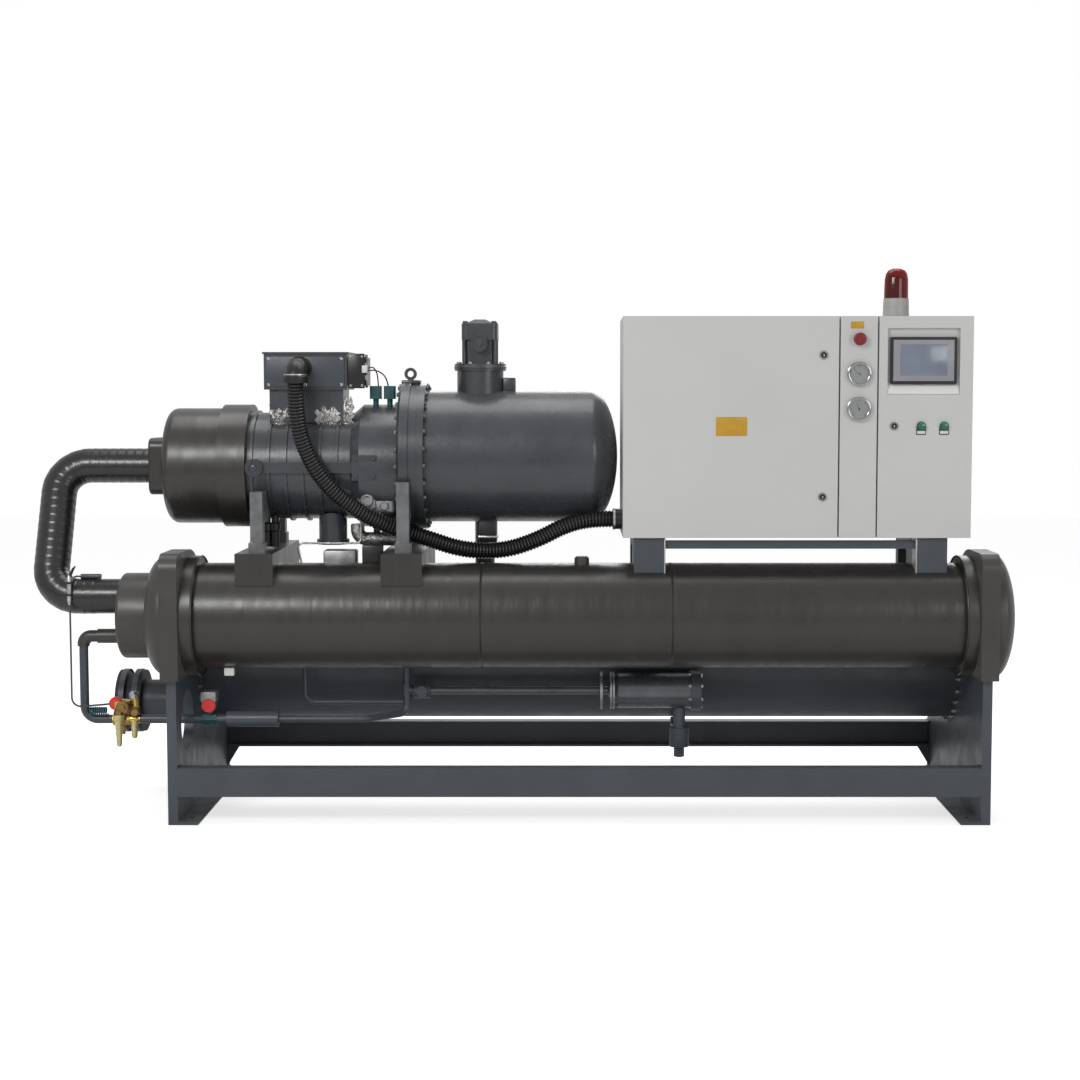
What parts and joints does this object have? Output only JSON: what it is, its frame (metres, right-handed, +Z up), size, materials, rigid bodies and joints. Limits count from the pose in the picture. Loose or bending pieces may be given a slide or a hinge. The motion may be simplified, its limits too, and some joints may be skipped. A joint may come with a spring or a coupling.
{
  "type": "water cooled screw chiller",
  "caption": "Water cooled screw chiller: two shells in a floor frame, compressor with oil separator on top, control cabinet with hinged doors.",
  "frame": {"origin": "floor level, centre of the four anchor bolt holes", "axes": "+X along the shells to the end where the cabinet stands, +Y to the back, +Z up"},
  "size_m": [3.106, 0.92, 1.731],
  "materials": {
    "frame_paint": "satin slate grey paint on steel",
    "compressor_paint": "satin slate grey paint on cast iron",
    "pipe_paint": "satin slate grey paint on copper and steel pipe",
    "insulation": "closed cell foam sheet, brown black",
    "black_rubber": "black rubber and plastic",
    "cabinet_paint": "light grey powder coat",
    "zinc": "zinc plated sheet",
    "gauge_rim": "polished rim",
    "red_lens": "clear red plastic",
    "screen_frame": "dark plastic bezel",
    "green_lamp": "green lens",
    "red_plastic": "red moulded plastic",
    "brass": "cast and turned brass"
  },
  "bodies": {
    "chiller": {"left_end_plate": "frame_paint", "right_end_plate": "frame_paint", "foot_flanges": "frame_paint", "frame_rails": "frame_paint", "condenser_shell": "frame_paint", "condenser_water_box": "frame_paint", "condenser_return_cover": "frame_paint", "water_coupling": "black_rubber", "evaporator_shell": "insulation", "left_tube_sheet": "insulation", "right_tube_sheet": "insulation", "evaporator_left_head": "insulation", "evaporator_right_head": "insulation", "chilled_water_nozzles": "insulation", "left_saddle": "insulation", "right_saddle": "insulation", "compressor_feet": "compressor_paint", "suction_end": "insulation", "compressor_casing": "compressor_paint", "compressor_flange": "compressor_paint", "oil_separator": "compressor_paint", "discharge_valve": "compressor_paint", "discharge_pipe": "compressor_paint", "lifting_eye": "compressor_paint", "terminal_box": "compressor_paint", "terminal_lid": "compressor_paint", "conduit": "black_rubber", "conduit_fittings": "black_rubber", "oil_filter": "compressor_paint", "solenoid_coils": "black_rubber", "suction_line": "insulation", "liquid_riser": "pipe_paint", "expansion_valve": "brass", "liquid_line": "pipe_paint", "solenoid_valve": "brass", "injection_riser": "pipe_paint", "oil_return_pipe": "pipe_paint", "oil_supply_pipe": "pipe_paint", "sight_glass": "pipe_paint", "filter_drier": "pipe_paint", "drier_cover": "pipe_paint", "angle_valve": "pipe_paint", "condenser_outlet": "pipe_paint", "capillary": "pipe_paint", "cabinet_shell": "cabinet_paint", "mounting_plate": "zinc", "gauge_strip": "cabinet_paint", "hinge_arms": "zinc", "emergency_ring": "gauge_rim", "pressure_gauges": "gauge_rim", "beacon_base": "black_rubber", "beacon_lens": "red_lens", "cabinet_stand": "frame_paint"},
    "main_door_leaf": {"main_door": "cabinet_paint"},
    "control_door_leaf": {"control_door": "cabinet_paint", "operating_panel": "screen_frame", "indicator_lamps": "green_lamp"},
    "stop_button": {"emergency_knob": "red_plastic"}
  },
  "joints": [
    {"name": "main_door_hinge", "type": "hinge", "parent": "chiller", "child": "main_door_leaf", "pos_m": [0.144, -0.369, 1.2355], "axis": [0, 0, -1], "range_deg": [0, 100]},
    {"name": "control_door_hinge", "type": "hinge", "parent": "chiller", "child": "control_door_leaf", "pos_m": [1.21, -0.369, 1.2355], "axis": [0, 0, 1], "range_deg": [0, 100]},
    {"name": "stop_press", "type": "slide", "parent": "chiller", "child": "stop_button", "axis": [0, 1, 0], "range_m": [0, 0.005]}
  ]
}
